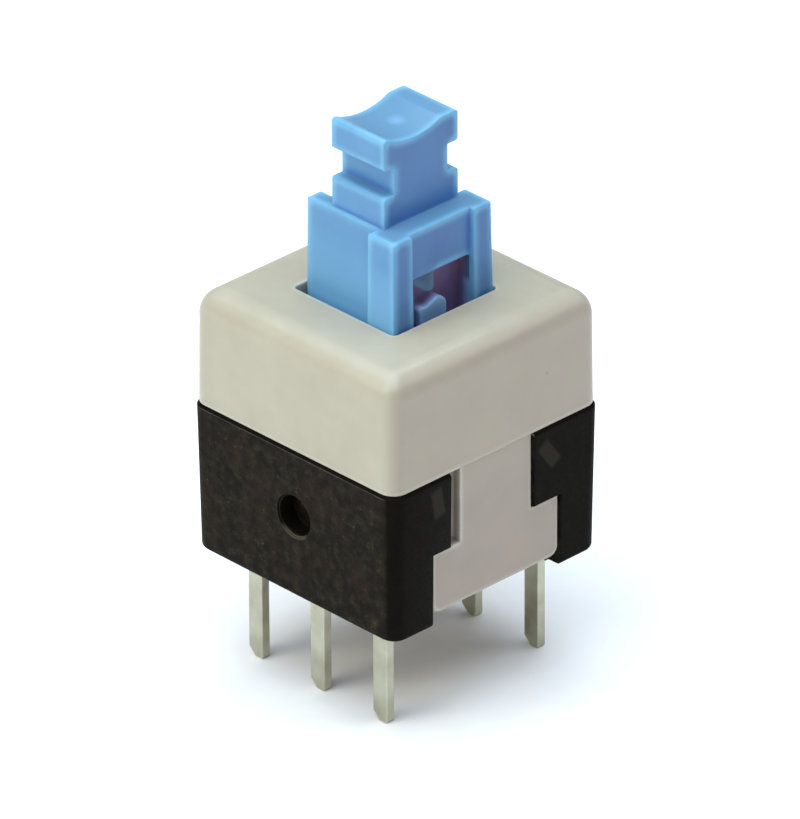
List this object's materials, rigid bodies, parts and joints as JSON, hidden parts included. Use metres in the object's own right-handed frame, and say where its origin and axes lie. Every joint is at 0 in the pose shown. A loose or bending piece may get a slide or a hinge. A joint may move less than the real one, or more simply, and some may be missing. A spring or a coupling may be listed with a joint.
{
  "type": "self-locking push switch",
  "caption": "Square board-mounted push switch with a latching blue plunger that rises from a clipped white cover over a black base with two rows of flat terminals.",
  "frame": {"origin": "middle of the square body, in the plane of the circuit board that its walls stand on", "axes": "+Z along the plunger towards its head, +X towards the cam side of the plunger, -Y towards the front row of terminals"},
  "size_m": [0.0082, 0.0082, 0.0172],
  "materials": {
    "black_plastic": "matt moulded",
    "white_plastic": "satin moulded",
    "blue_plastic": "satin moulded",
    "tinned_brass": "dull tin plating",
    "contact_bronze": "bright strip",
    "spring_steel": "drawn wire"
  },
  "bodies": {
    "housing": {"base": "black_plastic", "cover": "white_plastic", "return_spring": "spring_steel", "terminal_front_left": "tinned_brass", "terminal_front_middle": "tinned_brass", "terminal_front_right": "tinned_brass", "terminal_back_left": "tinned_brass", "terminal_back_middle": "tinned_brass", "terminal_back_right": "tinned_brass"},
    "plunger": {"plunger": "blue_plastic", "moving_contact_front": "contact_bronze", "moving_contact_back": "contact_bronze"},
    "latch": {"latch_pin": "spring_steel"}
  },
  "joints": [
    {"name": "plunger_slide", "type": "slide", "parent": "housing", "child": "plunger", "axis": [0, 0, -1], "range_m": [0, 0.0022], "stiffness_N_per_m": 600, "springref_m": -0.001, "deforming": ["return_spring"]},
    {"name": "latch_swing", "type": "hinge", "parent": "housing", "child": "latch", "pos_m": [0.0019, 0.00052, 0.0014], "axis": [-1, 0, 0], "range_deg": [0, 4.5]}
  ],
  "couplings": [
    {"joint": "latch_swing", "follows": "plunger_slide", "rad_per_m": 34.817}
  ]
}
